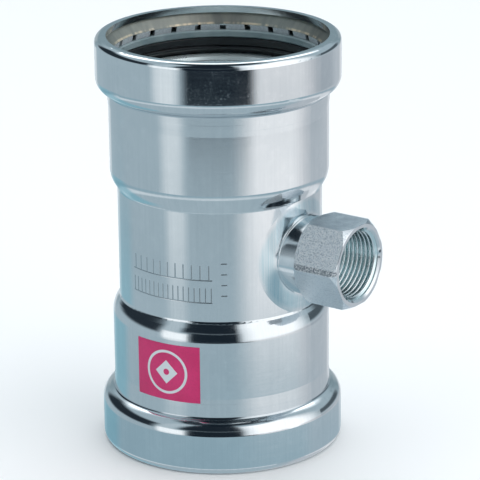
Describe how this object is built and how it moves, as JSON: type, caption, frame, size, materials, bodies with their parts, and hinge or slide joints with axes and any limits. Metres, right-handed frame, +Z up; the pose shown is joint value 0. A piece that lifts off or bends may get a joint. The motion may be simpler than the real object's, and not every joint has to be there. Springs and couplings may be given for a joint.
{
  "type": "press tee",
  "caption": "Galvanised steel press tee: a straight run with a press socket at each end and a short female threaded branch with a hexagon.",
  "frame": {"origin": "centre of the lower rim's face, on the run's axis", "axes": "+Z up the run's axis to the upper socket, +X out along the threaded branch, +Y completes the right-handed frame"},
  "size_m": [0.1072, 0.0904, 0.156],
  "materials": {
    "zinc_tube": "bright electroplated zinc over drawn steel",
    "zinc_turned": "electroplated zinc over turned and milled steel",
    "cutting_steel": "stainless spring steel, straw tint on the upper cone",
    "separator_plastic": "matte blue-grey plastic",
    "seal_rubber": "matte black rubber",
    "label_film": "printed film, satin"
  },
  "bodies": {
    "root": {"tee_body": "zinc_tube", "branch_connector": "zinc_turned", "upper_cutting_ring": "cutting_steel", "upper_separator_ring": "separator_plastic", "upper_seal": "seal_rubber", "lower_cutting_ring": "cutting_steel", "lower_separator_ring": "separator_plastic", "lower_seal": "seal_rubber", "marking_label": "label_film"}
  },
  "joints": []
}
